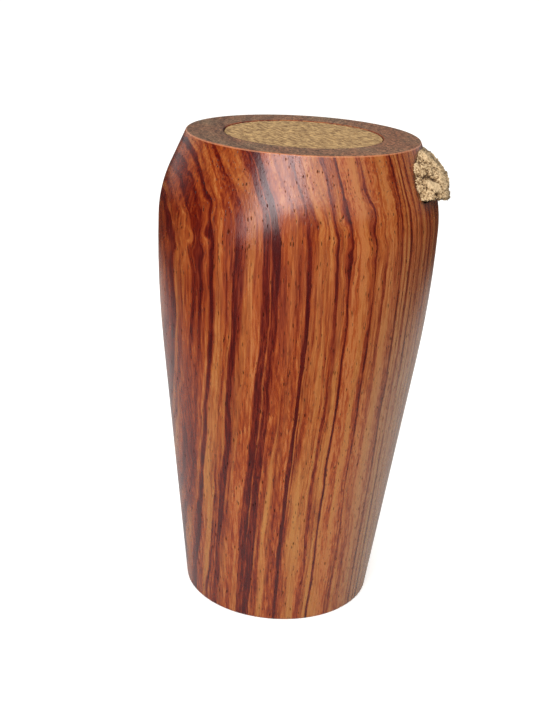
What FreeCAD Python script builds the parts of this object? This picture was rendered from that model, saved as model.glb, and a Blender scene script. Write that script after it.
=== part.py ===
import FreeCAD, Part

import math
import os
import re

import Sketcher

# A dip pen holder turned from one block of striped hardwood. It stands on a
# narrow foot, widens to a belly near the top and draws in again to a flat rim.
# A blind bore takes the pens. A flush cork stopper closes the bore, a cork pad
# lies on its floor, a felt pad is let into the foot, and a patch of the tree's
# own bark is left just under the rim.
#
# Frame: millimetres, +Z up along the turning axis, origin at the centre of the
# foot. -Y is the front, and the bark patch is on the +X side.

# name, value, meaning. Lengths are in millimetres and angles in degrees.
SIZES = [
    ("height", 100.0, "foot to rim"),
    ("foot_radius", 20.2, "outside of the foot"),
    ("belly_radius", 28.5, "widest point of the body"),
    ("belly_height", 82.8, "height of the widest point"),
    ("flank_arc", 232.0, "radius of the long curve below the belly"),
    ("shoulder_arc", 26.0, "radius of the short curve above the belly"),
    ("rim_radius", 23.4, "outside of the rim"),
    ("foot_round", 0.6, "rounding of the foot's outer edge"),
    ("rim_round", 0.3, "rounding of the rim's outer edge"),
    ("floor_height", 9.0, "floor of the pen bore above the foot"),
    ("bore_radius", 14.0, "pen bore"),
    ("mouth_radius", 16.0, "top of the stopper's tapered seat"),
    ("mouth_taper", 0.8, "how much narrower the seat is at its ledge"),
    ("seat_depth", 12.0, "rim to the ledge that the stopper rests on"),
    ("mouth_break", 0.15, "chamfer of the mouth's inner edge"),
    ("stopper_gap", 0.1, "radial gap between the stopper and its seat"),
    ("stopper_edge", 0.2, "chamfer of the stopper's two edges"),
    ("nib_pad_thickness", 3.0, "cork pad on the bore's floor"),
    ("nib_pad_gap", 0.2, "radial gap round the nib pad"),
    ("foot_pad_radius", 15.0, "felt pad in the foot"),
    ("foot_pad_thickness", 1.2, "felt pad, flush with the foot"),
    ("foot_pad_gap", 0.1, "radial gap round the felt pad"),
    ("bark_bearing", -14.0, "direction of the bark from +X, about +Z"),
    ("bark_tilt", 32.0, "lean of the bark towards the axis"),
    ("bark_centre_radius", 24.9, "bark's centre from the axis"),
    ("bark_centre_height", 92.9, "bark's centre above the foot"),
    ("bark_half_height", 6.9, "along the shoulder"),
    ("bark_half_width", 8.2, "round the shoulder"),
    ("bark_half_depth", 4.0, "through the shoulder"),
    ("bark_lip_height", 90.2, "flat lower lip of the bark"),
    ("bark_gap", 0.05, "gap between the bark and its pocket"),
]

doc = FreeCAD.newDocument("DipPenHolder")
sheet = doc.addObject("Spreadsheet::Sheet", "Sizes")
ORIGIN = (-1, 1)  # the sketcher's number for a sketch's own origin
H_AXIS, V_AXIS = -1, -2


def fill_sheet():
    for row, (name, value, meaning) in enumerate(SIZES, start=1):
        sheet.set(f"A{row}", name)
        sheet.set(f"B{row}", str(value))
        sheet.set(f"C{row}", meaning)
        sheet.setAlias(f"B{row}", name)
    doc.recompute()


def size(expression):
    """The number that an expression of the sheet's own names gives."""
    return float(sheet.evalExpression(expression))


def in_sheet(expression):
    """The same expression as another object has to write it."""
    names = "|".join(name for name, _, _ in SIZES)
    return re.sub(rf"\b({names})\b", r"Sizes.\1", expression)


def bind(thing, property_name, expression):
    thing.setExpression(property_name, in_sheet(expression))


def new_body(name):
    return doc.addObject("PartDesign::Body", name)


def new_sketch(body, name, plane="XZ_Plane"):
    sketch = body.newObject("Sketcher::SketchObject", name)
    for feature in body.Origin.OriginFeatures:
        if feature.Role == plane:
            sketch.AttachmentSupport = [(feature, "")]
    sketch.MapMode = "FlatFace"
    return sketch


def dimension(sketch, name, kind, *geometry, value):
    """Adds a driving dimension bound to an expression of the sheet."""
    index = sketch.addConstraint(Sketcher.Constraint(kind, *geometry, size(value)))
    sketch.renameConstraint(index, name)
    bind(sketch, f"Constraints.{name}", value)


def lathe_outline(sketch, corners):
    """Draws a closed outline of straight lines through corners, each a pair of
    expressions (radius, height), where "0" pins the corner to an axis."""
    points = [FreeCAD.Vector(size(r), size(z), 0) for r, z in corners]
    count = len(points)
    for i in range(count):
        sketch.addGeometry(Part.LineSegment(points[i], points[(i + 1) % count]), False)
    for i in range(count):
        sketch.addConstraint(Sketcher.Constraint("Coincident", i, 2, (i + 1) % count, 1))
    for i, (radius, height) in enumerate(corners):
        if radius == "0":
            sketch.addConstraint(Sketcher.Constraint("PointOnObject", i, 1, V_AXIS))
        else:
            dimension(sketch, f"radius_{i}", "DistanceX", *ORIGIN, i, 1, value=radius)
        if height == "0":
            sketch.addConstraint(Sketcher.Constraint("PointOnObject", i, 1, H_AXIS))
        else:
            dimension(sketch, f"height_{i}", "DistanceY", *ORIGIN, i, 1, value=height)


def turn(body, sketch, kind, name):
    """Revolves a sketch about the turning axis: "Revolution" adds, "Groove" cuts."""
    feature = body.newObject(f"PartDesign::{kind}", name)
    feature.Profile = sketch
    feature.ReferenceAxis = (sketch, ["V_Axis"])
    feature.Angle = 360.0
    doc.recompute()
    return feature


def turned_disc(name, corners):
    body = new_body(name)
    sketch = new_sketch(body, f"{name}_outline")
    lathe_outline(sketch, corners)
    turn(body, sketch, "Revolution", f"{name}_turned")
    return body


def circles_at(shape, radius, height):
    """Names of the circular edges of that radius at that height."""
    names = []
    for number, edge in enumerate(shape.Edges, start=1):
        circle = edge.Curve
        if not isinstance(circle, Part.Circle):
            continue
        same_radius = math.isclose(circle.Radius, radius, abs_tol=1e-3)
        same_height = math.isclose(circle.Center.z, height, abs_tol=1e-3)
        if same_radius and same_height:
            names.append(f"Edge{number}")
    return names


def ease(body, kind, name, base, edges, amount):
    """Adds a Fillet or Chamfer of that many millimetres to edges of a feature."""
    feature = body.newObject(f"PartDesign::{kind}", name)
    feature.Base = (base, edges)
    bind(feature, "Radius" if kind == "Fillet" else "Size", amount)
    doc.recompute()
    return feature


def body_outline(sketch):
    """Half section of the outside: foot, straight flank, long curve up to the
    belly, short curve over the shoulder, straight cone to the rim."""
    foot, belly, rim = size("foot_radius"), size("belly_radius"), size("rim_radius")
    height, belly_height = size("height"), size("belly_height")
    flank, shoulder = size("flank_arc"), size("shoulder_arc")
    flank_centre = FreeCAD.Vector(belly - flank, belly_height, 0)
    shoulder_centre = FreeCAD.Vector(belly - shoulder, belly_height, 0)
    # Starting guesses for the two tangent points; the constraints place them.
    flank_turn = -math.asin(0.3 * belly_height / flank)
    shoulder_turn = math.asin(0.6 * (height - belly_height) / shoulder)
    up = FreeCAD.Vector(0, 0, 1)
    flank_circle = Part.Circle(flank_centre, up, flank)
    shoulder_circle = Part.Circle(shoulder_centre, up, shoulder)
    flank_point = flank_circle.value(flank_turn)
    shoulder_point = shoulder_circle.value(shoulder_turn)
    axis_foot, axis_top = FreeCAD.Vector(0, 0, 0), FreeCAD.Vector(0, height, 0)
    foot_corner, rim_corner = FreeCAD.Vector(foot, 0, 0), FreeCAD.Vector(rim, height, 0)
    sole, flank_line, flank_curve, shoulder_curve, cone, top, axis = range(7)
    sketch.addGeometry(
        [
            Part.LineSegment(axis_foot, foot_corner),
            Part.LineSegment(foot_corner, flank_point),
            Part.ArcOfCircle(flank_circle, flank_turn, 0.0),
            Part.ArcOfCircle(shoulder_circle, 0.0, shoulder_turn),
            Part.LineSegment(shoulder_point, rim_corner),
            Part.LineSegment(rim_corner, axis_top),
            Part.LineSegment(axis_top, axis_foot),
        ],
        False,
    )
    for constraint in (
        ("Coincident", sole, 1, *ORIGIN),
        ("Coincident", sole, 2, flank_line, 1),
        ("Tangent", flank_line, 2, flank_curve, 1),
        ("Tangent", flank_curve, 2, shoulder_curve, 1),
        ("Tangent", shoulder_curve, 2, cone, 1),
        ("Coincident", cone, 2, top, 1),
        ("Coincident", top, 2, axis, 1),
        ("Coincident", axis, 2, sole, 1),
        ("Horizontal", sole),
        ("Horizontal", top),
        ("Vertical", axis),
        ("Horizontal", flank_curve, 3, flank_curve, 2),
    ):
        sketch.addConstraint(Sketcher.Constraint(*constraint))
    dimension(sketch, "flank_arc", "Radius", flank_curve, value="flank_arc")
    dimension(sketch, "shoulder_arc", "Radius", shoulder_curve, value="shoulder_arc")
    for name, kind, line, end in (
        ("foot_radius", "DistanceX", sole, 2),
        ("belly_radius", "DistanceX", flank_curve, 2),
        ("belly_height", "DistanceY", flank_curve, 2),
        ("rim_radius", "DistanceX", cone, 2),
        ("height", "DistanceY", cone, 2),
    ):
        dimension(sketch, name, kind, *ORIGIN, line, end, value=name)


def cut_bore(body, blank):
    """The pen bore and, above a ledge, the wider tapered seat of the stopper."""
    sketch = new_sketch(body, "bore")
    ledge = "height - seat_depth"
    lathe_outline(
        sketch,
        [
            ("0", "floor_height"),
            ("bore_radius", "floor_height"),
            ("bore_radius", ledge),
            ("mouth_radius - mouth_taper", ledge),
            ("mouth_radius", "height"),
            ("0", "height"),
        ],
    )
    bored = turn(body, sketch, "Groove", "pen_bore")
    column = math.pi * size("bore_radius") ** 2 * size("height - floor_height")
    if blank.Shape.Volume - bored.Shape.Volume < column:
        raise RuntimeError("the pen bore removed too little")
    return bored


def cut_foot_recess(body, bored):
    """The shallow round recess under the foot that the felt pad fills."""
    sketch = new_sketch(body, "foot_recess", "XY_Plane")
    circle = Part.Circle(FreeCAD.Vector(0, 0, 0), FreeCAD.Vector(0, 0, 1), 1.0)
    sketch.addGeometry(circle, False)
    sketch.addConstraint(Sketcher.Constraint("Coincident", 0, 3, *ORIGIN))
    dimension(sketch, "recess_radius", "Radius", 0, value="foot_pad_radius")
    pocket = body.newObject("PartDesign::Pocket", "foot_recess_cut")
    pocket.Profile = sketch
    pocket.Reversed = True
    bind(pocket, "Length", "foot_pad_thickness")
    doc.recompute()
    if pocket.Shape.Volume >= bored.Shape.Volume:
        raise RuntimeError("the foot recess removed nothing")
    return pocket


def make_blank():
    """The turned block with its bore, recess and eased edges, before the bark."""
    body = new_body("turned_blank")
    outline = new_sketch(body, "outside")
    body_outline(outline)
    shape = turn(body, outline, "Revolution", "outside_turned")
    shape = cut_bore(body, shape)
    shape = cut_foot_recess(body, shape)
    for kind, name, radius, height, amount in (
        ("Fillet", "foot_edge", "foot_radius", "0", "foot_round"),
        ("Fillet", "rim_edge", "rim_radius", "height", "rim_round"),
        ("Chamfer", "mouth_edge", "mouth_radius", "height", "mouth_break"),
    ):
        edges = circles_at(shape.Shape, size(radius), size(height))
        shape = ease(body, kind, name, shape, edges, amount)
    return body


def make_bark(name, growth):
    """An ellipsoid half sunk in the shoulder, leaning with it, and broken off
    flat along its lower lip. growth is an expression added to every side."""
    lump = doc.addObject("Part::Ellipsoid", f"{name}_lump")
    bind(lump, "Radius1", f"bark_half_height + {growth}")
    bind(lump, "Radius2", f"bark_half_depth + {growth}")
    bind(lump, "Radius3", f"bark_half_width + {growth}")
    bearing, tilt = size("bark_bearing"), size("bark_tilt")
    lump.Placement = FreeCAD.Placement(
        FreeCAD.Vector(0, 0, 0), FreeCAD.Rotation(bearing, -tilt, 0)
    )
    bind(lump, "Placement.Base.x", "bark_centre_radius * cos(bark_bearing)")
    bind(lump, "Placement.Base.y", "bark_centre_radius * sin(bark_bearing)")
    bind(lump, "Placement.Base.z", "bark_centre_height")

    below = doc.addObject("Part::Box", f"{name}_below_lip")
    for side in ("Length", "Width", "Height"):
        bind(below, side, "belly_radius * 2")
    bind(below, "Placement.Base.x", "-belly_radius / 2")
    bind(below, "Placement.Base.y", "-belly_radius")
    bind(below, "Placement.Base.z", f"bark_lip_height - belly_radius * 2 - {growth}")

    broken = doc.addObject("Part::Cut", name)
    broken.Base = lump
    broken.Tool = below
    doc.recompute()
    return broken


def make_turned_body():
    body = doc.addObject("Part::Cut", "holder_body")
    body.Base = make_blank()
    body.Tool = make_bark("bark_pocket", "bark_gap")
    doc.recompute()
    return body


def make_cork_stopper():
    bottom = "height - seat_depth"
    wide = "mouth_radius - stopper_gap"
    narrow = "mouth_radius - mouth_taper - stopper_gap"
    return turned_disc(
        "cork_plug",
        [
            ("0", bottom),
            (f"{narrow} - stopper_edge", bottom),
            (narrow, f"{bottom} + stopper_edge"),
            (wide, "height - stopper_edge"),
            (f"{wide} - stopper_edge", "height"),
            ("0", "height"),
        ],
    )


def make_nib_pad():
    outside = "bore_radius - nib_pad_gap"
    top = "floor_height + nib_pad_thickness"
    return turned_disc(
        "bore_floor_disc",
        [("0", "floor_height"), (outside, "floor_height"), (outside, top), ("0", top)],
    )


def make_foot_pad():
    outside = "foot_pad_radius - foot_pad_gap"
    top = "foot_pad_thickness"
    return turned_disc("felt_disc", [("0", "0"), (outside, "0"), (outside, top), ("0", top)])


def check(things):
    doc.recompute()
    for thing in doc.Objects:
        for word in ("Invalid", "Error"):
            if word in thing.State:
                raise RuntimeError(f"{thing.Name} is {word}")
    for thing in things:
        if thing.Shape.isNull() or not thing.Shape.isValid():
            raise RuntimeError(f"{thing.Label} has no valid shape")
        if thing.Shape.Volume <= 0:
            raise RuntimeError(f"{thing.Label} has no volume")


def export(things):
    os.makedirs("parts", exist_ok=True)
    for thing in things:
        thing.Shape.exportStep(os.path.join("parts", f"{thing.Label}.step"))
        print(f"{thing.Label}: {thing.Shape.Volume / 1000:.2f} cm3")


fill_sheet()
parts = {
    "turned_body": make_turned_body(),
    "cork_stopper": make_cork_stopper(),
    "bark_patch": make_bark("bark", "0"),
    "nib_pad": make_nib_pad(),
    "foot_pad": make_foot_pad(),
}
for label, thing in parts.items():
    thing.Label = label
check(parts.values())
export(parts.values())
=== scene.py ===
import math

import bmesh
import bpy
from bpy.props import FloatProperty, FloatVectorProperty, PointerProperty
from mathutils import Matrix, Vector, noise


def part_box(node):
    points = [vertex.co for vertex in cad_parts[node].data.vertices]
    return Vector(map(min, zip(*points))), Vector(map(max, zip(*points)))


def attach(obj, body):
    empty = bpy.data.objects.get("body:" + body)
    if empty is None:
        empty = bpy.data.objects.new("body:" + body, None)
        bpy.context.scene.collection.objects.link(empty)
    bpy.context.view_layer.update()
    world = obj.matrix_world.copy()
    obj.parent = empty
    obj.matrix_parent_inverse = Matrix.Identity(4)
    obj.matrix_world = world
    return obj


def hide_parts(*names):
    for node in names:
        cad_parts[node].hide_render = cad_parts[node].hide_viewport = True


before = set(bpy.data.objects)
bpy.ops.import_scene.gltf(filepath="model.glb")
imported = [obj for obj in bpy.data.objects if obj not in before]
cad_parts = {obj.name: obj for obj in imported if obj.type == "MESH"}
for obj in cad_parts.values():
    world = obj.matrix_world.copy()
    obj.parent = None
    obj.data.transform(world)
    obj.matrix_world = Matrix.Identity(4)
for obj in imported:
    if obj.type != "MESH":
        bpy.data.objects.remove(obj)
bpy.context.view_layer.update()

bl_info = {
    "name": "Dip pen holder",
    "version": (1, 0, 0),
    "blender": (4, 5, 0),
    "location": "View3D > Sidebar > Pen Holder",
    "description": "Finishes a turned hardwood dip pen holder with its cork, bark and felt",
    "category": "Object",
}

MM = 0.001
HOLDER, STOPPER = "holder", "stopper"

# Points of a mesh this close are one, while it is turned and once it is done.
WELD, SPECK = 1e-6, 1e-7


def paint(code):
    """Scene-linear red, green and blue of a six-digit colour code."""
    shares = [int(code[i:i + 2], 16) / 255 for i in (0, 2, 4)]
    return tuple(
        s / 12.92 if s <= 0.04045 else ((s + 0.055) / 1.055) ** 2.4 for s in shares
    )


def colour(name, description, code):
    return FloatVectorProperty(
        name=name, description=description, default=paint(code),
        subtype="COLOR", size=3, min=0.0, max=1.0,
    )


def share(name, description, default):
    return FloatProperty(
        name=name, description=description, default=default,
        subtype="FACTOR", min=0.0, max=1.0,
    )


def length(name, description, millimetres):
    return FloatProperty(
        name=name, description=description, default=millimetres * MM,
        unit="LENGTH", subtype="DISTANCE", precision=5,
    )


def angle(name, description, degrees):
    return FloatProperty(
        name=name, description=description, default=math.radians(degrees),
        unit="ROTATION", subtype="ANGLE",
    )


# ---------------------------------------------------------------------------
# What a user would change
# ---------------------------------------------------------------------------


class HardwoodFinish(bpy.types.PropertyGroup):
    """The striped hardwood of the turned body."""

    gold: colour("Gold", "Palest wood between the growth rings", "96562A")
    ochre: colour("Ochre", "Yellower streaks between the growth rings", "96632F")
    orange: colour("Orange", "Common colour of the wood", "863C12")
    rust: colour("Rust", "Warmer wood towards a dark ring", "71290B")
    red: colour("Red", "Wood beside the core of a dark ring", "540F02")
    oxblood: colour("Oxblood", "Core of a dark ring", "3C0604")
    tan: colour("Tan", "Cast of the inner rings", "86684A")
    end_grain: colour("End grain", "Sanded end grain of the rim", "86583B")
    end_grain_grey: colour("Grey end grain", "Where the end grain has weathered", "7C6046")
    pore: colour("Pore", "Inside of the wood's open pores", "200804")
    # Colour of a painted highlight along the outer edge of the rim.
    rim_highlight: colour("Rim edge", "Burnished outer edge of the rim", "C0805C")
    # Colour of the painted contact shadow on the wood round the bark.
    painted_shadow: colour("Dirt", "Dirt where the wood meets the bark", "1E0E08")
    pith_x: length("Pith X", "Centre of the growth rings at the foot", 47.0)
    pith_y: length("Pith Y", "Centre of the growth rings at the foot", 8.0)
    lean_x: FloatProperty(name="Lean X", description="Slope of the pith", default=-0.047)
    lean_y: FloatProperty(name="Lean Y", description="Slope of the pith", default=0.007)
    wander: length("Wander", "How far the rings stray from true circles", 0.5)
    polish: share("Polish", "Roughness of the waxed flanks", 0.26)


class CorkFinish(bpy.types.PropertyGroup):
    """The pressed cork of the stopper and the nib pad."""

    light: colour("Light granule", "Palest cork granules", "C8A36B")
    dark: colour("Dark granule", "Darkest cork granules", "74522D")
    crack: colour("Crack", "Gaps and bark specks between granules", "5B3D22")
    granule: length("Granule", "Size of a cork granule", 0.9)
    pit_depth: length("Pit depth", "Depth of the deepest pits in the face", 0.14)


class BarkFinish(bpy.types.PropertyGroup):
    """The patch of natural bark."""

    # The smooth lobe is also painted towards this colour, partly as a painted highlight.
    ridge: colour("Ridge", "Dry worn ridges", "C9AE86")
    body: colour("Body", "Common colour of the bark", "886A44")
    # Colour of the folds: darker bark and painted shade.
    crevice_shade: colour("Crevice", "Deep folds and cracks", "412A15")
    skin: colour("Skin", "Thin dark outer skin", "4E4030")
    centre_out: length("Centre out", "Bark's centre from the turning axis", 24.9)
    centre_height: length("Centre height", "Bark's centre above the foot", 92.9)
    half_depth: length("Half depth", "Half the bark's size through the shoulder", 4.0)
    half_width: length("Half width", "Half the bark's size round the shoulder", 8.2)
    half_height: length("Half height", "Half the bark's size along the shoulder", 6.9)
    bearing: angle("Bearing", "Direction of the bark from +X, about +Z", -14.0)
    tilt: angle("Tilt", "Lean of the bark towards the turning axis", 32.0)
    ridges: length("Ridges", "Height of the fibrous ridges", 0.34)
    lumps: length("Lumps", "Height of the broad lumps", 0.5)
    fray: length("Fray", "Unevenness of the broken lower lip", 0.45)


class FeltFinish(bpy.types.PropertyGroup):
    """The pressed felt under the foot."""

    wool: colour("Wool", "Common colour of the felt", "2F2A26")
    fibre: colour("Fibre", "Stray paler fibres", "5A524A")
    nap: length("Nap", "Unevenness of the felt's lower face", 0.12)


class Studio(bpy.types.PropertyGroup):
    """Camera, floor and lights."""

    camera_back: length("Camera back", "From the turning axis to the camera", 235.543)
    camera_height: length("Camera height", "From the floor to the camera", 139.169)
    camera_pitch: angle("Camera pitch", "Below the horizon", 20.4385)
    camera_yaw: angle("Camera yaw", "To the right of the turning axis", -1.0018)
    camera_roll: angle("Camera roll", "About the line of sight", 3.2654)
    camera_lens: FloatProperty(
        name="Lens", description="Focal length in millimetres", default=58.723, unit="CAMERA",
    )
    floor: colour("Floor", "Pale studio floor", "F6F6F5")
    floor_glow: FloatProperty(
        name="Floor glow", description="Light added to the floor so that it looks white",
        default=0.35,
    )
    window: FloatProperty(name="Window", description="Brightness of the softboxes", default=1.0)
    daylight: FloatProperty(name="Daylight", description="Strength of the sky", default=0.85)


PROPERTY_GROUPS = {
    "pen_holder_wood": HardwoodFinish,
    "pen_holder_cork": CorkFinish,
    "pen_holder_bark": BarkFinish,
    "pen_holder_felt": FeltFinish,
    "pen_holder_studio": Studio,
}


# ---------------------------------------------------------------------------
# Node trees
# ---------------------------------------------------------------------------


# Places of a Mix node's two inputs and its output, for colours and for values.
MIX_COLOURS = (6, 7, 2)
MIX_VALUES = (2, 3, 0)


class Tree:
    """Adds nodes to a node tree. A value given for an input may be a socket,
    which is linked, or a number, colour or vector, which is set."""

    def __init__(self, nodes, links):
        self.nodes, self.links = nodes, links

    def add(self, kind, inputs=(), **settings):
        node = self.nodes.new(kind)
        for name, value in settings.items():
            setattr(node, name, value)
        for key, value in dict(inputs).items():
            self.set(node.inputs[key], value)
        return node

    def set(self, socket, value):
        if isinstance(value, bpy.types.NodeSocket):
            self.links.new(value, socket)
        elif socket.type == "RGBA" and len(value) == 3:
            socket.default_value = (*value, 1.0)
        else:
            socket.default_value = value

    def math(self, operation, *values, clamp=False):
        node = self.add("ShaderNodeMath", enumerate(values), operation=operation)
        node.use_clamp = clamp
        return node.outputs[0]

    def vector(self, operation, *values):
        node = self.nodes.new("ShaderNodeVectorMath")
        node.operation = operation
        for socket, value in zip(node.inputs, values):
            self.set(socket, value)
        return node.outputs["Value" if operation == "LENGTH" else "Vector"]

    def scaled(self, vector, x, y, z):
        return self.vector("MULTIPLY", vector, (x, y, z))

    def turned(self, vector, angles):
        inputs = {"Vector": vector, "Rotation": angles}
        return self.add("ShaderNodeMapping", inputs).outputs[0]

    def place(self):
        """Object coordinates in millimetres."""
        coordinates = self.add("ShaderNodeTexCoord").outputs["Object"]
        return self.scaled(coordinates, 1 / MM, 1 / MM, 1 / MM)

    def combine(self, x, y, z):
        return self.add("ShaderNodeCombineXYZ", {"X": x, "Y": y, "Z": z}).outputs[0]

    def separate(self, vector):
        return self.add("ShaderNodeSeparateXYZ", {0: vector}).outputs

    def noise(self, vector, scale=1.0, detail=3.0, roughness=0.55, distortion=0.0):
        node = self.add(
            "ShaderNodeTexNoise",
            {"Vector": vector, "Scale": scale, "Detail": detail,
             "Roughness": roughness, "Distortion": distortion},
        )
        return node.outputs["Fac"]

    def grain(self, space, stretch, low, high, detail=3.0, roughness=0.55):
        """Noise stretched along the wood that mostly runs from low to high."""
        value = self.noise(self.scaled(space, *stretch), 1.0, detail, roughness)
        return self.remap(value, 0.3, 0.7, low, high)

    def voronoi(self, vector, scale=1.0, feature="F1"):
        inputs = {"Vector": vector, "Scale": scale}
        return self.add("ShaderNodeTexVoronoi", inputs, feature=feature)

    def remap(self, value, low, high, to_low=0.0, to_high=1.0, smooth=False):
        node = self.add(
            "ShaderNodeMapRange",
            {"Value": value, "From Min": low, "From Max": high,
             "To Min": to_low, "To Max": to_high},
            interpolation_type="SMOOTHSTEP" if smooth else "LINEAR",
        )
        return node.outputs[0]

    def ramp(self, value, stops):
        """stops is a list of (place from 0 to 1, colour or grey value)."""
        node = self.add("ShaderNodeValToRGB", {"Fac": value})
        elements = node.color_ramp.elements
        while len(elements) < len(stops):
            elements.new(1.0)
        for element, (place, shade) in zip(elements, stops):
            element.position = place
            grey = isinstance(shade, (int, float))
            element.color = (shade, shade, shade, 1.0) if grey else (*shade, 1.0)
        return node.outputs["Color"]

    def mix(self, factor, a, b, blend="MIX"):
        node = self.add("ShaderNodeMix", data_type="RGBA", blend_type=blend)
        return self.join(node, MIX_COLOURS, factor, a, b)

    def blend_values(self, factor, a, b):
        node = self.add("ShaderNodeMix", data_type="FLOAT")
        return self.join(node, MIX_VALUES, factor, a, b)

    def join(self, node, places, factor, a, b):
        """Sets a Mix node's inputs and gives its output."""
        place_a, place_b, place_out = places
        for place, value in ((0, factor), (place_a, a), (place_b, b)):
            self.set(node.inputs[place], value)
        return node.outputs[place_out]

    def bump(self, height, distance, strength=1.0):
        inputs = {"Height": height, "Distance": distance, "Strength": strength}
        return self.add("ShaderNodeBump", inputs).outputs["Normal"]

    def group(self, group, outputs, **inputs):
        """Places a node group. Underscores in the inputs' names stand for spaces."""
        node = self.add("ShaderNodeGroup", node_tree=group)
        for name, value in inputs.items():
            self.set(node.inputs[name.replace("_", " ")], value)
        found = [node.outputs[name] for name in outputs]
        return found[0] if len(found) == 1 else found


def new_material(name):
    material = bpy.data.materials.new(name)
    material.use_nodes = True
    material.node_tree.nodes.clear()
    return material, Tree(material.node_tree.nodes, material.node_tree.links)


def surface(tree, **inputs):
    """A Principled BSDF joined to the material's output."""
    named = {name.replace("_", " "): value for name, value in inputs.items()}
    shader = tree.add("ShaderNodeBsdfPrincipled", named)
    output = tree.add("ShaderNodeOutputMaterial")
    tree.links.new(shader.outputs[0], output.inputs["Surface"])


def new_group(name, inputs, outputs):
    """An empty shader group and its Tree, input sockets and output node."""
    group = bpy.data.node_groups.new(name, "ShaderNodeTree")
    for socket_name, kind, default in inputs:
        socket = group.interface.new_socket(
            name=socket_name, in_out="INPUT", socket_type=f"NodeSocket{kind}"
        )
        if default is not None:
            socket.default_value = default
    for socket_name, kind in outputs:
        group.interface.new_socket(
            name=socket_name, in_out="OUTPUT", socket_type=f"NodeSocket{kind}"
        )
    tree = Tree(group.nodes, group.links)
    given = tree.add("NodeGroupInput").outputs
    result = tree.add("NodeGroupOutput")
    return group, tree, given, result


def grit_group():
    """Fine speckle: a value about 0.5 that varies from grain to grain."""
    group, tree, given, result = new_group(
        "Grit",
        [("Vector", "Vector", None), ("Grain", "Float", 0.3), ("Contrast", "Float", 1.0)],
        [("Value", "Float")],
    )
    per_grain = tree.math("DIVIDE", 1.0, given["Grain"])
    cells = tree.voronoi(given["Vector"], per_grain).outputs["Color"]
    tone = tree.separate(cells)[0]
    soft = tree.noise(given["Vector"], tree.math("MULTIPLY", per_grain, 0.6), 4.0, 0.7)
    both = tree.math("ADD", tree.math("MULTIPLY", tone, 0.45), tree.math("MULTIPLY", soft, 0.55))
    centred = tree.math("SUBTRACT", both, 0.5)
    tree.set(result.inputs[0], tree.math("MULTIPLY_ADD", centred, given["Contrast"], 0.5))
    return group


# Places where the rings ripple, how far in full and at all, and the swing, in millimetres.
FIGURED_SPOTS = ((11.0, -24.0, 87.0), (-19.0, -18.0, 86.0))
RIPPLE_REACH = (3.0, 14.0)
RIPPLE = 2.4

# Radius at which the way round the pith is measured, and the heights between which the
# rings come to stray more, in millimetres.
ARC_RADIUS = 45.0
SHOULDER = (84.0, 93.0)


def wood_space(tree, place, wood):
    """Turns a place in the block into ring radius, arc and height, in millimetres:
    X is the distance from the pith, Y the way round it and Z the way along it."""
    x, y, z = tree.separate(place)
    pith_x = tree.math("MULTIPLY_ADD", z, wood.lean_x, wood.pith_x / MM)
    pith_y = tree.math("MULTIPLY_ADD", z, wood.lean_y, wood.pith_y / MM)
    across = tree.math("SUBTRACT", pith_x, x)
    aside = tree.math("SUBTRACT", y, pith_y)
    ring = tree.vector("LENGTH", tree.combine(across, aside, 0.0))
    around = tree.math("MULTIPLY", tree.math("ARCTAN2", aside, across), ARC_RADIUS)

    slow = tree.noise(tree.scaled(place, 0.045, 0.045, 0.02), 1.0, 2.0)
    quick = tree.noise(tree.scaled(place, 0.25, 0.25, 0.09), 1.0, 2.0)
    stray = tree.math("SUBTRACT", slow, 0.5)
    stray = tree.math("MULTIPLY_ADD", tree.math("SUBTRACT", quick, 0.5), 0.35, stray)
    shoulder = tree.remap(z, *SHOULDER, 1.0, 2.4, smooth=True)
    stray = tree.math("MULTIPLY", tree.math("MULTIPLY", stray, 2 * wood.wander / MM), shoulder)
    ripple = tree.noise(tree.scaled(place, 0.24, 0.24, 0.2), 1.0, 1.0)
    ripple = tree.math("MULTIPLY", tree.math("SUBTRACT", ripple, 0.5), RIPPLE)
    for spot in FIGURED_SPOTS:
        away = tree.vector("LENGTH", tree.vector("SUBTRACT", place, spot))
        near = tree.remap(away, *RIPPLE_REACH, 1.0, 0.0, smooth=True)
        stray = tree.math("MULTIPLY_ADD", ripple, near, stray)
    ring = tree.math("ADD", ring, stray)
    wave = tree.noise(tree.combine(
        tree.math("MULTIPLY", ring, 0.3), tree.math("MULTIPLY", around, 0.05),
        tree.math("MULTIPLY", z, 0.055),
    ), 1.0, 2.0)
    wave = tree.math("MULTIPLY", tree.math("SUBTRACT", wave, 0.5), 2.8 * wood.wander / MM)
    return tree.combine(tree.math("ADD", ring, wave), around, z)


def pores_group():
    """Open pores of a hardwood: long dashes on the flanks, dots on end grain."""
    group, tree, given, result = new_group(
        "Pores",
        [("Wood space", "Vector", None), ("Spacing", "Float", 0.6), ("Length", "Float", 2.4),
         ("Width", "Float", 0.24)],
        [("Mask", "Float")],
    )
    across = tree.math("DIVIDE", 1.0, given["Spacing"])
    along = tree.math("DIVIDE", 1.0, given["Length"])
    stretched = tree.vector(
        "MULTIPLY", given["Wood space"], tree.combine(across, across, along)
    )
    distance = tree.voronoi(stretched).outputs["Distance"]
    open_to = tree.math("MULTIPLY", given["Width"], 0.55)
    mask = tree.remap(distance, open_to, given["Width"], 1.0, 0.0, smooth=True)
    tree.set(result.inputs[0], mask)
    return group


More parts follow.
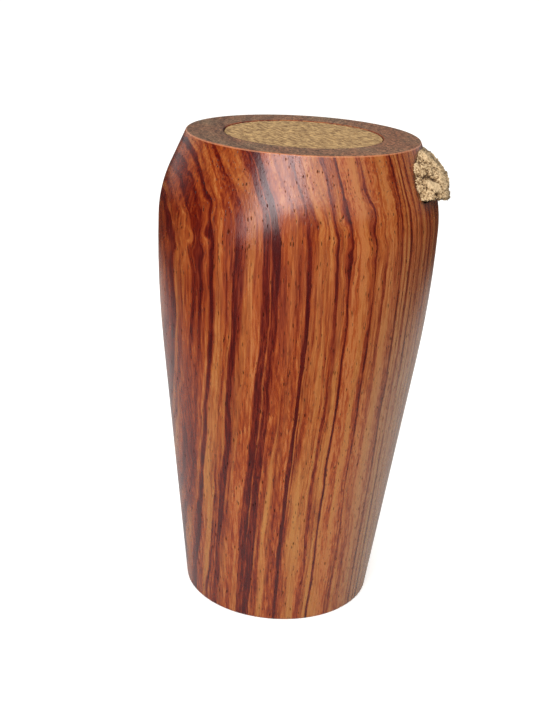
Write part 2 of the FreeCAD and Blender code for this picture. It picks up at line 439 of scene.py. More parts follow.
# Dark growth rings of this block: distance from the pith and width, both in
# millimetres, and depth of colour from 0 to 1. The block spans 19 to 76 mm.
DARK_RINGS = (
    (75.6, 0.5, 0.8), (74.4, 0.9, 0.7), (73.1, 0.4, 0.6), (71.4, 0.6, 0.88), (70.6, 0.5, 0.6),
    (69.3, 0.5, 0.8), (68.5, 0.5, 0.78), (67.2, 0.55, 1.0), (66.4, 0.3, 0.45), (65.4, 0.35, 0.74),
    (64.9, 0.3, 0.55), (64.3, 0.75, 0.86), (63.5, 0.4, 0.48), (60.7, 1.1, 0.86),
    (59.5, 1.1, 1.0), (56.8, 1.1, 0.42), (54.9, 0.7, 0.84), (54.3, 0.3, 0.5),
    (51.8, 0.4, 0.32), (50.4, 0.7, 0.64), (48.1, 0.45, 0.92), (46.2, 0.4, 0.2),
    (44.0, 0.5, 0.45), (43.4, 0.5, 0.66), (41.6, 0.3, 0.3), (40.9, 0.35, 0.42),
    (38.1, 0.4, 0.44), (37.5, 0.3, 0.4), (36.9, 0.5, 0.78), (35.6, 0.4, 0.5),
    (34.4, 0.6, 0.78), (32.5, 0.5, 0.62), (30.6, 0.45, 0.6), (28.6, 0.6, 0.66),
    (26.9, 0.6, 0.7), (25.4, 0.4, 0.5), (23.8, 0.5, 0.65), (22.5, 0.6, 0.75), (20.6, 0.5, 0.6),
)
RINGS_PER_RAMP = 8
# In millimetres, half the blur of a ring's edges, its outer fade and what a ramp reaches
# past its rings. Then the shade between two rings that run together.
RING_EDGE, RING_FADE, RAMP_MARGIN = 0.12, 0.3, 1.5
SHADE_BETWEEN = 0.3

# Darkness of the plain wood between the rings, by distance from the pith.
PLAIN_WOOD = (
    (19.0, 0.25), (28.0, 0.2), (32.0, 0.2), (36.2, 0.12), (37.5, 0.25), (39.2, 0.0),
    (40.2, 0.05), (41.3, 0.22), (42.4, 0.05), (43.7, 0.3), (45.1, 0.03), (47.2, 0.1),
    (49.0, 0.24), (50.2, 0.4), (51.4, 0.25), (52.7, 0.16), (54.0, 0.4), (55.8, 0.32),
    (57.7, 0.18), (58.7, 0.4), (61.6, 0.3), (62.2, 0.18), (63.6, 0.5), (66.1, 0.28),
    (67.7, 0.26), (69.0, 0.6), (70.0, 0.3), (72.2, 0.38), (76.0, 0.35),
)


def growth_rings(tree, ring):
    """Depth of the dark rings at a ring radius. Each ring ends sharply on its inner
    side and more slowly on its outer one, so it takes four stops of a ramp."""
    depth = None
    for first in range(0, len(DARK_RINGS), RINGS_PER_RAMP):
        rings = sorted(DARK_RINGS[first:first + RINGS_PER_RAMP])
        low, high = rings[0][0] - RAMP_MARGIN, rings[-1][0] + RAMP_MARGIN
        stops = []
        for middle, width, dark in rings:
            inner, outer = middle - width / 2, middle + width / 2
            stops += [[inner - RING_EDGE, 0.0], [inner + RING_EDGE, dark]]
            stops += [[outer - RING_EDGE, dark], [outer + RING_FADE, 0.0]]
        for before, after in zip(stops, stops[1:]):
            if after[0] < before[0]:
                before[0] = after[0] = (before[0] + after[0]) / 2
                before[1] = after[1] = SHADE_BETWEEN
        places = [((place - low) / (high - low), shade) for place, shade in stops]
        shade = tree.ramp(tree.remap(ring, low, high), places)
        depth = shade if depth is None else tree.math("MAXIMUM", depth, shade)
    return depth


# Where the bare wood of the mouth ends, in millimetres outside the stopper; the rim's
# painted highlight line, from the turning axis and below the top; and the heights between
# which the painted contact shadow round the bark comes in.
MOUTH_MARGIN = (0.4, 0.7)
RIM_HIGHLIGHT, RIM_HIGHLIGHT_DEPTH = (22.0, 23.0), (0.3, 0.2)
PAINTED_SHADOW_HEIGHTS = (87.5, 91.5)

# How level a face is, from 0 to 1, where side grain turns into end grain.
END_GRAIN_FROM, END_GRAIN_FULL = 0.86, 0.97

LARGE_PORES = {"Spacing": 0.75, "Length": 4.0, "Width": 0.16}
SMALL_PORES = {"Spacing": 0.42, "Length": 3.2, "Width": 0.2}


def plain_wood(tree, ring):
    """Darkness of the wood between its dark rings at a ring radius."""
    first, last = PLAIN_WOOD[0][0], PLAIN_WOOD[-1][0]
    stops = [((radius - first) / (last - first), tone) for radius, tone in PLAIN_WOOD]
    return tree.ramp(tree.remap(ring, first, last), stops)


def wood_tones(tree, space):
    """How dark the wood is from 0 to 1, how dark it would be without its fibres,
    and the fibres themselves."""
    ring, _, along = tree.separate(space)
    rings = growth_rings(tree, ring)
    strength = tree.noise(tree.scaled(space, 0.35, 0.06, 0.03))
    rings = tree.math("MULTIPLY", rings, tree.remap(strength, 0.3, 0.62, 0.7, 1.05))
    clouds = tree.grain(space, (0.35, 0.12, 0.04), -0.1, 0.12)
    lines = tree.grain(space, (1.4, 0.12, 0.025), -0.17, 0.2, 2.0, 0.5)
    threads = tree.grain(space, (3.0, 0.6, 0.06), -0.15, 0.15, 2.0, 0.6)
    fibres = tree.grain(space, (2.9, 2.9, 0.17), -1.0, 1.0, 3.0, 0.65)
    tone = tree.math("MAXIMUM", tree.math("ADD", plain_wood(tree, ring), clouds), rings)
    tone = tree.math("ADD", tone, tree.math("ADD", lines, threads))
    fibrous = tree.remap(along, 10.0, 90.0, 0.36, 0.24)
    dark = tree.math("ADD", tone, tree.math("MULTIPLY", fibres, fibrous), clamp=True)
    return dark, tone, fibres


def flank_colour(tree, wood, space, dark, tone):
    """Colour of the waxed flanks, with yellower streaks, most of them low down, and a
    tan cast on the inner rings."""
    ring, _, along = tree.separate(space)
    flank = tree.ramp(
        dark,
        [(0.0, wood.gold), (0.2, wood.orange), (0.45, wood.rust), (0.75, wood.red),
         (1.0, wood.oxblood)],
    )
    streaks = tree.noise(tree.scaled(space, 0.55, 0.05, 0.012), roughness=0.6)
    yellow = tree.remap(streaks, 0.42, 0.62, 0.0, 0.85, smooth=True)
    yellow = tree.math("MULTIPLY", yellow, tree.remap(tone, 0.15, 0.55, 1.0, 0.0))
    yellow = tree.math("MULTIPLY", yellow, tree.remap(along, 25.0, 75.0, 1.0, 0.4))
    flank = tree.mix(yellow, flank, wood.ochre)
    inner = tree.remap(ring, 46.0, 32.0, 0.0, 0.75, smooth=True)
    pale = tree.remap(dark, 0.1, 0.6, 1.0, 0.25)
    pale = tree.math("MULTIPLY", pale, tree.remap(along, 55.0, 88.0, 1.0, 0.1))
    return tree.mix(tree.math("MULTIPLY", inner, pale), flank, wood.tan)


def end_grain_colour(tree, wood, place, dark, grit):
    """Colour of the sanded end grain: dusty and grey-brown, its rings only faint."""
    patches = tree.noise(place, 0.09, 2.0)
    end = tree.mix(tree.remap(patches, 0.35, 0.65), wood.end_grain, wood.end_grain_grey)
    end = tree.mix(tree.math("MULTIPLY", dark, 0.5), end, wood.oxblood)
    speckle = tree.ramp(grit, [(0.1, 0.1), (0.5, 0.5), (0.9, 0.9)])
    return tree.mix(0.8, end, speckle, "OVERLAY")


def painted_shadow_round_bark(tree, place, grit):
    """How strongly the painted contact shadow darkens the wood round the bark, least of it below.
    """
    patch = bpy.context.scene.pen_holder_bark
    spot = tree.add(
        "ShaderNodeMapping",
        {
            "Vector": place,
            "Location": (
                patch.centre_out / MM * math.cos(patch.bearing),
                patch.centre_out / MM * math.sin(patch.bearing),
                patch.centre_height / MM,
            ),
            "Rotation": (0.0, -patch.tilt, patch.bearing),
            "Scale": (patch.half_depth / MM, patch.half_width / MM, patch.half_height / MM),
        },
        vector_type="TEXTURE",
    ).outputs[0]
    reach = tree.math("MULTIPLY_ADD", grit, 0.08, tree.vector("LENGTH", spot))
    painted_shade = tree.remap(reach, 1.07, 1.2, 0.75, 0.0, smooth=True)
    height = tree.separate(place)[2]
    return tree.math("MULTIPLY", painted_shade, tree.remap(height, *PAINTED_SHADOW_HEIGHTS, 0.1, 1.0))


def hardwood_material(groups):
    """Striped hardwood: waxed on the flanks, bare on the end grain and in the bore."""
    wood = bpy.context.scene.pen_holder_wood
    mouth = node_radii("cork_stopper")[0] / MM
    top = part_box("turned_body")[1].z / MM
    material, tree = new_material("striped_hardwood")
    place = tree.place()
    space = wood_space(tree, place, wood)
    dark, tone, fibres = wood_tones(tree, space)
    grit = tree.group(groups["grit"], ["Value"], Vector=place, Grain=0.3, Contrast=2.2)
    pores, small_pores = (
        tree.group(groups["pores"], ["Mask"], Wood_space=space, **sizes)
        for sizes in (LARGE_PORES, SMALL_PORES)
    )
    flank = flank_colour(tree, wood, space, dark, tone)
    flank = tree.mix(tree.math("MULTIPLY", pores, 0.8), flank, wood.pore)
    flank = tree.mix(tree.math("MULTIPLY", small_pores, 0.7), flank, wood.pore)
    end = end_grain_colour(tree, wood, place, dark, grit)
    end = tree.mix(tree.math("MULTIPLY", pores, 0.7), end, wood.pore)

    normal = tree.add("ShaderNodeTexCoord").outputs["Normal"]
    upright = tree.math("ABSOLUTE", tree.separate(normal)[2])
    is_end = tree.remap(upright, END_GRAIN_FROM, END_GRAIN_FULL, smooth=True)
    x, y, height = tree.separate(place)
    out = tree.vector("LENGTH", tree.combine(x, y, 0.0))
    in_bore = tree.remap(out, *(mouth + margin for margin in MOUTH_MARGIN), 1.0, 0.0)
    bare = tree.math("MAXIMUM", is_end, in_bore)
    # A painted highlight: a paler line along the outer edge of the rim.
    near_top = tree.remap(height, *(top - depth for depth in RIM_HIGHLIGHT_DEPTH))
    edge = tree.math("MULTIPLY", near_top, tree.remap(out, *RIM_HIGHLIGHT))
    flank = tree.mix(tree.math("MULTIPLY", edge, 0.5), flank, wood.rim_highlight)
    base = tree.mix(is_end, flank, end)
    # Painted contact shadow on the wood round the bark.
    base = tree.mix(painted_shadow_round_bark(tree, place, grit), base, wood.painted_shadow)

    polish = wood.polish
    waxed = tree.grain(space, (0.8, 0.5, 0.1), polish - 0.03, polish + 0.04)
    waxed = tree.math("MULTIPLY_ADD", pores, 0.1, waxed)
    relief = tree.math("MULTIPLY", pores, -1.0)
    relief = tree.math("MULTIPLY_ADD", small_pores, -0.5, relief)
    relief = tree.math("MULTIPLY_ADD", fibres, 0.14, relief)
    rough_relief = tree.math("MULTIPLY_ADD", grit, 2.2, relief)
    relief = tree.blend_values(bare, relief, rough_relief)
    surface(
        tree,
        Base_Color=base,
        Roughness=tree.blend_values(bare, waxed, 0.85),
        Specular_IOR_Level=tree.math("MULTIPLY_ADD", pores, -0.45, 0.5),
        Normal=tree.bump(relief, 0.05 * MM, 0.8),
    )
    return material


def cork_material(groups):
    """Pressed cork: granules with dark seams and specks, and slanted paler dashes."""
    cork = bpy.context.scene.pen_holder_cork
    material, tree = new_material("pressed_cork")
    place = tree.place()
    warped = tree.noise(place, 0.8, 2.0)
    bent = tree.vector("ADD", place, tree.combine(warped, tree.math("SUBTRACT", 1.0, warped), 0.0))
    per_granule = MM / cork.granule
    cells = tree.voronoi(bent, per_granule)
    tone = tree.separate(cells.outputs["Color"])[0]
    edge = tree.voronoi(bent, per_granule, "DISTANCE_TO_EDGE").outputs["Distance"]
    grit = tree.group(groups["grit"], ["Value"], Vector=place, Grain=0.25, Contrast=1.4)
    slanted = tree.turned(place, (0.0, 0.0, math.radians(52)))
    dashes = tree.noise(tree.scaled(slanted, 0.5, 1.7, 0.8), 1.0, 1.0, 0.5)
    shade = tree.math("MULTIPLY_ADD", tone, 0.2, tree.math("MULTIPLY", grit, 0.35))
    shade = tree.math("ADD", shade, tree.remap(dashes, 0.38, 0.62, 0.0, 0.5))
    base = tree.ramp(shade, [(0.15, cork.dark), (0.85, cork.light)])
    seam = tree.remap(edge, 0.0, 0.06, 0.35, 0.0)
    base = tree.mix(seam, base, cork.crack)
    specks = tree.voronoi(tree.scaled(place, 1.0, 0.6, 1.0), 1.3).outputs["Distance"]
    specks = tree.remap(specks, 0.1, 0.2, 0.45, 0.0)
    base = tree.mix(specks, base, cork.crack)
    relief = tree.math("SUBTRACT", grit, tree.math("MULTIPLY", seam, 1.2))
    relief = tree.math("SUBTRACT", relief, specks)
    surface(
        tree,
        Base_Color=base,
        Roughness=tree.remap(grit, 0.2, 0.8, 0.8, 0.95),
        Normal=tree.bump(relief, 0.09 * MM, 0.9),
    )
    return material


def bark_material(groups):
    """Dry bark: pale on its ridges, and on its smooth lobe partly as a painted highlight; dark in
    its folds partly as painted shade.
    """
    bark = bpy.context.scene.pen_holder_bark
    material, tree = new_material("dry_bark")
    place = tree.place()
    height, lobe, skin = (
        tree.add("ShaderNodeAttribute", attribute_name=name).outputs["Fac"]
        for name in ("height", "lobe", "skin")
    )
    turned = tree.turned(place, (math.radians(-35), 0.0, 0.0))
    fibres = tree.noise(tree.scaled(turned, 2.6, 3.6, 0.8), 1.0, 3.0, 0.7)
    grit = tree.group(groups["grit"], ["Value"], Vector=place, Grain=0.32, Contrast=2.0)
    shade = tree.math("MULTIPLY_ADD", tree.math("SUBTRACT", fibres, 0.5), 1.7, height)
    shade = tree.math("MULTIPLY_ADD", tree.math("SUBTRACT", grit, 0.5), 0.6, shade)
    # Low spots on the bark take the fold colour: darker bark and painted shade in its folds.
    base = tree.ramp(
        shade, [(0.15, bark.crevice_shade), (0.45, bark.body), (0.8, bark.ridge)]
    )
    # The smooth lobe is painted paler, partly as a painted highlight on its face.
    base = tree.mix(tree.math("MULTIPLY", lobe, 0.8), base, bark.ridge)
    patchy = tree.remap(tree.noise(place, 0.6, 2.0), 0.4, 0.6)
    covered = tree.math("MULTIPLY", tree.math("MULTIPLY", skin, patchy), 0.75)
    base = tree.mix(covered, base, bark.skin)
    detail = tree.math("MULTIPLY_ADD", grit, 0.8, fibres)
    roughness = tree.remap(fibres, 0.3, 0.7, 0.75, 0.92)
    roughness = tree.math("MULTIPLY_ADD", lobe, -0.3, roughness)
    surface(
        tree,
        Base_Color=base,
        Roughness=roughness,
        Normal=tree.bump(detail, 0.18 * MM, 0.9),
    )
    return material


def felt_material(groups):
    """Pressed felt: a dark matted wool with stray paler fibres."""
    felt = bpy.context.scene.pen_holder_felt
    material, tree = new_material("pressed_felt")
    place = tree.place()
    grit = tree.group(groups["grit"], ["Value"], Vector=place, Grain=0.4, Contrast=1.3)
    swirl = tree.noise(place, 1.4, 4.0, 0.7, 2.5)
    off_middle = tree.math("ABSOLUTE", tree.math("SUBTRACT", swirl, 0.5))
    strands = tree.remap(off_middle, 0.0, 0.05, 1.0, 0.0)
    base = tree.mix(tree.math("MULTIPLY", strands, 0.7), felt.wool, felt.fibre)
    base = tree.mix(0.6, base, tree.ramp(grit, [(0.0, 0.3), (1.0, 0.7)]), "OVERLAY")
    surface(
        tree,
        Base_Color=base,
        Roughness=tree.remap(grit, 0.2, 0.8, 0.88, 1.0),
        Sheen_Weight=0.35,
        Sheen_Roughness=0.5,
        Normal=tree.bump(tree.math("ADD", strands, grit), 0.12 * MM, 0.8),
    )
    return material


# ---------------------------------------------------------------------------
# Meshes
# ---------------------------------------------------------------------------


def finish_mesh(bm, name, material, body, node):
    """Makes the object from a bmesh, gives it its body and slot, and hides its CAD node."""
    bmesh.ops.remove_doubles(bm, verts=bm.verts, dist=SPECK)
    bmesh.ops.dissolve_degenerate(bm, edges=bm.edges, dist=SPECK)
    bmesh.ops.recalc_face_normals(bm, faces=bm.faces)
    mesh = bpy.data.meshes.new(name)
    bm.to_mesh(mesh)
    bm.free()
    mesh.shade_smooth()
    piece = bpy.data.objects.new(name, mesh)
    bpy.context.scene.collection.objects.link(piece)
    mesh.materials.append(material)
    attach(piece, body)
    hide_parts(node)
    return piece


def steps_between(start, end, spacing):
    """Evenly spaced points from start up to but not including end."""
    count = max(1, round((end - start).length / spacing))
    return [start.lerp(end, i / count) for i in range(count)]


def turned_pad(corners, spacing, sectors):
    """A bmesh turned about Z from an outline of (radius, height) corners that
    starts and ends on the axis."""
    points = []
    corners = [Vector((r, 0.0, z)) for r, z in corners]
    for a, b in zip(corners, corners[1:]):
        points += steps_between(a, b, spacing)
    points.append(corners[-1])
    bm = bmesh.new()
    verts = [bm.verts.new(p) for p in points]
    edges = [bm.edges.new(pair) for pair in zip(verts, verts[1:])]
    bmesh.ops.spin(
        bm, geom=verts + edges, cent=(0, 0, 0), axis=(0, 0, 1), angle=math.tau,
        steps=sectors, use_merge=True, use_duplicate=False,
    )
    bmesh.ops.remove_doubles(bm, verts=bm.verts, dist=WELD)
    return bm


# How far the fretting of a cork edge reaches.
FRET_REACH = 0.5 * MM


def crumble(bm, depth, grain, edge_radius, edge_height):
    """Sinks pits into a cork piece's faces and frets its upper edge."""
    bm.normal_update()
    moves = []
    for vert in bm.verts:
        place = vert.co / MM
        pit = noise.noise(place / (grain / MM), noise_basis="VORONOI_F2F1")
        fine = noise.fractal(place * 1.7, 0.7, 2.0, 3)
        sunk = max(0.0, 0.35 - pit) * 1.4 + max(0.0, fine) * 0.5
        out = math.hypot(vert.co.x, vert.co.y)
        from_edge = math.hypot(out - edge_radius, vert.co.z - edge_height)
        fret = max(0.0, 1 - from_edge / FRET_REACH) * max(0.0, 0.4 + fine)
        moves.append((vert, -vert.normal * depth * min(1.0, sunk + 0.6 * fret)))
    for vert, move in moves:
        vert.co += move


def cork_pad(name, node, body, material, sectors, spacing):
    """A cork disc that fills its node's box, narrower at the bottom as the node is."""
    cork = bpy.context.scene.pen_holder_cork
    low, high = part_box(node)
    top_radius, bottom_radius = node_radii(node)
    bevel = 0.2 * MM
    corners = (
        (0.0, high.z),
        (top_radius - bevel, high.z),
        (top_radius, high.z - bevel),
        (bottom_radius, low.z + bevel),
        (bottom_radius - bevel, low.z),
        (0.0, low.z),
    )
    bm = turned_pad(corners, spacing, sectors)
    crumble(bm, cork.pit_depth, cork.granule, top_radius, high.z)
    return finish_mesh(bm, name, material, body, node)


def press_felt(bm, nap, low, high):
    """Gives felt its matted lower face, hollow between its tufts, and a fretted side.
    Nothing goes below low, where the felt stands."""
    bm.normal_update()
    moves = []
    for vert in bm.verts:
        if vert.co.z > high - 0.01 * MM:
            continue
        place = vert.co / MM
        tufts = noise.fractal(place * 0.8, 0.6, 2.0, 4)
        sunk = min(1.0, max(0.0, 0.35 + 0.6 * tufts))
        moves.append((vert, -vert.normal * nap * sunk))
    for vert, move in moves:
        vert.co += move
        vert.co.z = max(vert.co.z, low)


def node_radii(node):
    """Outside radius of a round node in its top half and in its bottom half."""
    low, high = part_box(node)
    middle = (low.z + high.z) / 2
    top = bottom = 0.0
    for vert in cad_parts[node].data.vertices:
        radius = math.hypot(vert.co.x, vert.co.y)
        if vert.co.z > middle:
            top = max(top, radius)
        else:
            bottom = max(bottom, radius)
    return top, bottom


# The bark's landmarks, in millimetres round the shoulder and up it from the bark's
# centre: a fold, the middle, half sizes and lean (cosine and sine) of the smooth lobe
# under it, and the middle and size of a hole in the lip.
FOLD = ((-8.6, 2.7), (-7.1, 2.5), (-5.6, 2.4), (-4.6, 1.5), (-3.8, 0.1), (-3.1, -2.6))
LOBE_MIDDLE, LOBE_HALVES, LOBE_LEAN = (-5.7, 0.5), (2.1, 1.0), (0.83, 0.56)
HOLE_MIDDLE, HOLE_SIZE = (-5.4, -1.2), 0.5

# Heights of the bark's features over its plain lump, and widths of its fold, in
# millimetres, and how much of the roughness the lobe takes away.
SWELL, CRUMBS, LOBE_RISE, HOLE_DEPTH = 0.1, 0.3, 0.5, 0.9
FOLD_DEPTH, FOLD_WIDTH, FOLD_BANK, BANK_WIDTH = 0.45, 0.3, 0.25, 1.0
LOBE_SMOOTHING = 0.75
RIDGE_LEAN = math.radians(28)

# The broken lower lip: how far it stands above the lowest point of the bark's solid,
# how much more at its raised end, and where round the shoulder that end begins.
LIP_STAND, LIP_RAISE, LIP_RAISED_FROM = 0.4, 0.5, -3.0


def to_fold(spot):
    """Distance from the fold, and whether the spot is on its upper side."""
    nearest, above = math.inf, False
    for a, b in zip(FOLD, FOLD[1:]):
        a, b = Vector(a), Vector(b)
        step = b - a
        portion = min(1.0, max(0.0, (spot - a).dot(step) / step.length_squared))
        gap = spot - (a + portion * step)
        if gap.length < nearest:
            nearest = gap.length
            above = step.x * gap.y - step.y * gap.x > 0
    return nearest, above


def lobe_share(around, up):
    """How far a spot below the fold is part of the smooth lobe, from 0 to 1."""
    middle_around, middle_up = LOBE_MIDDLE
    half_long, half_broad = LOBE_HALVES
    cosine, sine = LOBE_LEAN
    down = cosine * (around - middle_around) - sine * (up - middle_up)
    aside = sine * (around - middle_around) + cosine * (up - middle_up)
    inside = 1 - (down / half_long) ** 2 - (aside / half_broad) ** 2
    return min(1.0, max(0.0, 1.6 * inside))


def bark_height(around, up, out):
    """Height of the bark's surface over its plain lump, in millimetres, and how
    far the spot is part of the smooth lobe."""
    bark = bpy.context.scene.pen_holder_bark
    place = Vector((around, up, out))
    across = around * math.cos(RIDGE_LEAN) + up * math.sin(RIDGE_LEAN)
    along = up * math.cos(RIDGE_LEAN) - around * math.sin(RIDGE_LEAN)
    lumps = noise.fractal(place * 0.32 + Vector((3.1, 0.0, 5.2)), 0.9, 2.0, 3)
    stretched = Vector((across * 1.35 + 0.6 * lumps, along * 0.42, out * 0.7))
    ridges = noise.ridged_multi_fractal(stretched, 0.8, 2.1, 4, 1.0, 2.0) / 1.6 - 0.55
    crumbs = noise.fractal(place * 2.6, 0.5, 2.1, 4)

    from_fold, above = to_fold(Vector((around, up)))
    lobe = 0.0 if above else lobe_share(around, up)
    rough = 1 - LOBE_SMOOTHING * lobe
    height = SWELL + bark.lumps / MM * lumps
    height += rough * (bark.ridges / MM * ridges + CRUMBS * crumbs)
    height += LOBE_RISE * math.sqrt(lobe)
    height -= FOLD_DEPTH * math.exp(-((from_fold / FOLD_WIDTH) ** 2))
    if above:
        height += FOLD_BANK * math.exp(-from_fold / BANK_WIDTH)
    hole_around, hole_up = HOLE_MIDDLE
    from_hole = math.hypot(around - hole_around, up - hole_up) / HOLE_SIZE
    height -= HOLE_DEPTH * math.exp(-(from_hole ** 2))
    return height, lobe


def sculpt_bark():
    """A bmesh of the bark and its layers of height, lobe and skin."""
    bark = bpy.context.scene.pen_holder_bark
    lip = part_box("bark_patch")[0].z
    outward = Vector((math.cos(bark.bearing), math.sin(bark.bearing), 0.0))
    sideways = Vector((-outward.y, outward.x, 0.0))
    centre = bark.centre_out * outward + Vector((0.0, 0.0, bark.centre_height))
    turn = Matrix.Rotation(bark.bearing, 4, "Z") @ Matrix.Rotation(-bark.tilt, 4, "Y")
    size = Matrix.Diagonal((bark.half_depth, bark.half_width, bark.half_height, 1.0))
    bm = bmesh.new()
    bmesh.ops.create_icosphere(
        bm, subdivisions=7, radius=1.0, matrix=Matrix.Translation(centre) @ turn @ size
    )
    bm.normal_update()
    layers = [bm.verts.layers.float.new(name) for name in ("height", "lobe", "skin")]
    moved = []
    for vert in bm.verts:
        offset = (vert.co - centre) / MM
        around, up, out = offset.dot(sideways), offset.z, offset.dot(outward)
        height, lobe = bark_height(around, up, out)
        place = vert.co + vert.normal * height * MM
        ragged = noise.fractal(Vector((around * 0.9, out * 0.9, 1.0)), 0.5, 2.2, 4)
        raised = LIP_STAND + LIP_RAISE * min(1.0, max(0.0, LIP_RAISED_FROM - around))
        place.z = max(place.z, lip + raised * MM + 1.2 * bark.fray * ragged)
        skin = min(1.0, max(0.0, (around + 3.5) / 2.5))
        moved.append((vert, place, (0.5 + 0.8 * height, lobe, skin)))
    for vert, place, values in moved:
        vert.co = place
        for layer, value in zip(layers, values):
            vert[layer] = value
    return bm


# ---------------------------------------------------------------------------
# Operators
# ---------------------------------------------------------------------------


made = {}


def shared(name, make):
    """A material or set of groups that several operators use, made the first time."""
    if name not in made:
        made[name] = make()
    return made[name]


def shared_groups():
    return shared("groups", lambda: {"grit": grit_group(), "pores": pores_group()})


def shared_cork():
    return shared("cork", lambda: cork_material(shared_groups()))


class PENHOLDER_OT_turned_body(bpy.types.Operator):
    """Finish the turned body in striped hardwood"""

    bl_idname = "pen_holder.turned_body"
    bl_label = "Turned Body"

    def execute(self, context):
        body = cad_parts["turned_body"]
        material = hardwood_material(shared_groups())
        body.data.materials.clear()
        body.data.materials.append(material)
        return {"FINISHED"}


class PENHOLDER_OT_cork_stopper(bpy.types.Operator):
    """Make the tapered cork stopper with its pitted face"""

    bl_idname = "pen_holder.cork_stopper"
    bl_label = "Cork Stopper"

    def execute(self, context):
        cork_pad(
            "cork_stopper_face", "cork_stopper", STOPPER, shared_cork(),
            sectors=224, spacing=0.4 * MM,
        )
        return {"FINISHED"}


class PENHOLDER_OT_nib_pad(bpy.types.Operator):
    """Make the cork pad on the floor of the bore"""

    bl_idname = "pen_holder.nib_pad"
    bl_label = "Nib Pad"

    def execute(self, context):
        cork_pad(
            "nib_pad_cork", "nib_pad", HOLDER, shared_cork(), sectors=128, spacing=0.6 * MM
        )
        return {"FINISHED"}


class PENHOLDER_OT_foot_pad(bpy.types.Operator):
    """Make the pressed felt pad under the foot"""

    bl_idname = "pen_holder.foot_pad"
    bl_label = "Foot Pad"

    def execute(self, context):
        felt = context.scene.pen_holder_felt
        low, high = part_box("foot_pad")
        radius, _ = node_radii("foot_pad")
        soft = 0.35 * MM
        corners = (
            (0.0, high.z),
            (radius, high.z),
            (radius, low.z + soft),
            (radius - 0.3 * soft, low.z + 0.3 * soft),
            (radius - soft, low.z),
            (0.0, low.z),
        )
        bm = turned_pad(corners, spacing=0.35 * MM, sectors=192)
        press_felt(bm, felt.nap, low.z, high.z)
        material = felt_material(shared_groups())
        pad = finish_mesh(bm, "foot_pad_felt", material, HOLDER, "foot_pad")
        return {"FINISHED"}


class PENHOLDER_OT_bark_patch(bpy.types.Operator):
    """Sculpt the patch of bark under the rim"""

    bl_idname = "pen_holder.bark_patch"
    bl_label = "Bark Patch"

    def execute(self, context):
        material = bark_material(shared_groups())
        finish_mesh(sculpt_bark(), "bark_patch_rough", material, HOLDER, "bark_patch")
        return {"FINISHED"}


class PENHOLDER_OT_studio(bpy.types.Operator):
    """Set the pale floor, the soft lights and the camera"""

    bl_idname = "pen_holder.studio"
    bl_label = "Studio"

    def execute(self, context):
        make_floor()
        make_daylight()
        make_window()
        make_camera(context)
        context.scene.view_settings.view_transform = "Standard"
        context.scene.view_settings.look = "None"
        return {"FINISHED"}


# The floor and, in reflections only, a pale sheet on it: its middle and its edge, in
# metres, and how much the sheet and the table round it are darkened.
FLOOR_RADIUS = 6.0
SHEET_BEHIND, SHEET_EDGE = 0.11, (0.14, 0.21)
SHEET_DARKENED, TABLE_DARKENED = 0.4, 0.98


def make_floor():
    studio = bpy.context.scene.pen_holder_studio
    bm = bmesh.new()
    bmesh.ops.create_circle(bm, cap_ends=True, radius=FLOOR_RADIUS, segments=96)
    mesh = bpy.data.meshes.new("studio_floor")
    bm.to_mesh(mesh)
    bm.free()
    floor = bpy.data.objects.new("studio_floor", mesh)
    bpy.context.scene.collection.objects.link(floor)
    material, tree = new_material("pale_floor")
    coordinates = tree.add("ShaderNodeTexCoord").outputs["Object"]
    # The sheet reaches a little in front of the holder and further behind it.
    sheet = tree.add(
        "ShaderNodeMapping", {"Vector": coordinates, "Location": (0.0, -SHEET_BEHIND, 0.0)}
    ).outputs[0]
    from_middle = tree.vector("LENGTH", sheet)
    darkened = tree.remap(
        from_middle, *SHEET_EDGE, SHEET_DARKENED, TABLE_DARKENED, smooth=True
    )
    path = tree.add("ShaderNodeLightPath").outputs
    darkened = tree.math("MULTIPLY", path["Is Glossy Ray"], darkened)
    base = tree.mix(darkened, studio.floor, (0.0, 0.0, 0.0))
    surface(
        tree,
        Base_Color=base,
        Roughness=0.9,
        Specular_IOR_Level=0.1,
        Emission_Color=studio.floor,
        Emission_Strength=tree.math("MULTIPLY", path["Is Camera Ray"], studio.floor_glow),
    )
    mesh.materials.append(material)


def make_daylight():
    """A pale even sky for the camera, and for reflections a dim room."""
    studio = bpy.context.scene.pen_holder_studio
    world = bpy.data.worlds.new("daylight")
    bpy.context.scene.world = world
    world.use_nodes = True
    world.node_tree.nodes.clear()
    tree = Tree(world.node_tree.nodes, world.node_tree.links)
    direction = tree.add("ShaderNodeTexCoord").outputs["Generated"]
    _, back, up = tree.separate(direction)
    behind = tree.remap(back, 0.1, 0.85, 0.015, 0.6, smooth=True)
    overhead = tree.remap(up, 0.0, 1.0, 0.3 * studio.daylight, 1.3 * studio.daylight)
    path = tree.add("ShaderNodeLightPath")
    strength = tree.blend_values(path.outputs["Is Glossy Ray"], overhead, behind)
    strength = tree.blend_values(path.outputs["Is Camera Ray"], strength, 1.0)
    light = tree.add("ShaderNodeBackground", {"Color": (1.0, 0.99, 0.97), "Strength": strength})
    output = tree.add("ShaderNodeOutputWorld")
    tree.links.new(light.outputs[0], output.inputs["Surface"])


def aim(location, target):
    """Matrix of a lamp at location that shines on target."""
    turn = (target - location).to_track_quat("-Z", "Y")
    return Matrix.LocRotScale(location, turn, None)


SOFTBOX_DISTANCE = 0.7
SOFTBOX_TARGET = Vector((0.0, -0.01, 0.085))


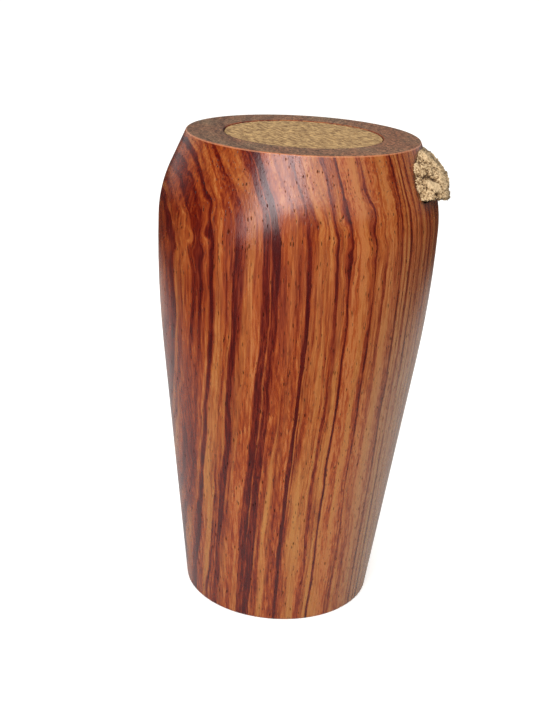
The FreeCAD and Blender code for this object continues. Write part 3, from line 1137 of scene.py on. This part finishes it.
def softbox(name, azimuths, elevations, brightness, tint):
    """A lamp that covers a range of directions as seen from the holder, in degrees.
    Azimuth is from the front, -Y, towards +X."""
    lamp = bpy.data.lights.new(name, "AREA")
    lamp.shape = "RECTANGLE"
    spans = [math.radians(high - low) for low, high in (azimuths, elevations)]
    lamp.size, lamp.size_y = (2 * SOFTBOX_DISTANCE * math.tan(span / 2) for span in spans)
    lamp.color = tint
    studio = bpy.context.scene.pen_holder_studio
    lamp.energy = studio.window * brightness * math.pi * lamp.size * lamp.size_y
    box = bpy.data.objects.new(name, lamp)
    bpy.context.scene.collection.objects.link(box)
    a, e = (math.radians(sum(ends) / 2) for ends in (azimuths, elevations))
    ray = Vector((math.sin(a) * math.cos(e), -math.cos(a) * math.cos(e), math.sin(e)))
    box.matrix_world = aim(SOFTBOX_TARGET + ray * SOFTBOX_DISTANCE, SOFTBOX_TARGET)


def make_window():
    """Soft lights, which the wax reflects as a window and its neighbours."""
    softbox("window", (-35, -2), (21, 42), 9.0, (0.97, 0.97, 1.0))
    softbox("window_low", (-33, -17), (6, 21), 8.0, (1.0, 0.97, 0.95))
    softbox("window_side", (-2, 26), (27, 42), 4.5, (1.0, 0.95, 0.92))
    softbox("window_left", (-44, -33), (-12, 14), 5.0, (1.0, 0.96, 0.96))
    softbox("fill_right", (28, 62), (12, 40), 1.2, (1.0, 0.96, 0.93))


def make_camera(context):
    studio = context.scene.pen_holder_studio
    pitch, yaw, roll = studio.camera_pitch, studio.camera_yaw, studio.camera_roll
    ahead = Vector((
        math.sin(yaw) * math.cos(pitch), math.cos(yaw) * math.cos(pitch), -math.sin(pitch)
    ))
    level = Vector((math.cos(yaw), -math.sin(yaw), 0.0))
    upright = level.cross(ahead)
    right = math.cos(roll) * level + math.sin(roll) * upright
    up = math.cos(roll) * upright - math.sin(roll) * level
    camera = bpy.data.objects.new("camera", bpy.data.cameras.new("camera"))
    context.scene.collection.objects.link(camera)
    turn = Matrix((right, up, -ahead)).transposed().to_4x4()
    spot = Vector((0.0, -studio.camera_back, studio.camera_height))
    camera.matrix_world = Matrix.Translation(spot) @ turn
    camera.data.lens = studio.camera_lens
    camera.data.sensor_width = 36.0
    camera.data.clip_start, camera.data.clip_end = 0.01, 50.0
    context.scene.camera = camera


OPERATORS = (
    PENHOLDER_OT_studio,
    PENHOLDER_OT_turned_body,
    PENHOLDER_OT_bark_patch,
    PENHOLDER_OT_cork_stopper,
    PENHOLDER_OT_nib_pad,
    PENHOLDER_OT_foot_pad,
)


class PENHOLDER_PT_panel(bpy.types.Panel):
    """The holder's pieces, in the order they are made"""

    bl_label = "Dip Pen Holder"
    bl_idname = "PENHOLDER_PT_panel"
    bl_space_type = "VIEW_3D"
    bl_region_type = "UI"
    bl_category = "Pen Holder"

    def draw(self, context):
        for operator in OPERATORS:
            self.layout.operator(operator.bl_idname)
        for pointer, kind in PROPERTY_GROUPS.items():
            box = self.layout.box()
            box.label(text=kind.__name__)
            for name in kind.__annotations__:
                box.prop(getattr(context.scene, pointer), name)


CLASSES = (*PROPERTY_GROUPS.values(), *OPERATORS, PENHOLDER_PT_panel)


def register():
    for kind in CLASSES:
        bpy.utils.register_class(kind)
    for pointer, kind in PROPERTY_GROUPS.items():
        setattr(bpy.types.Scene, pointer, PointerProperty(type=kind))


def unregister():
    for pointer in PROPERTY_GROUPS:
        delattr(bpy.types.Scene, pointer)
    for kind in reversed(CLASSES):
        bpy.utils.unregister_class(kind)


def main():
    register()
    for operator in OPERATORS:
        family, name = operator.bl_idname.split(".")
        getattr(getattr(bpy.ops, family), name)()


if __name__ == "__main__":
    main()
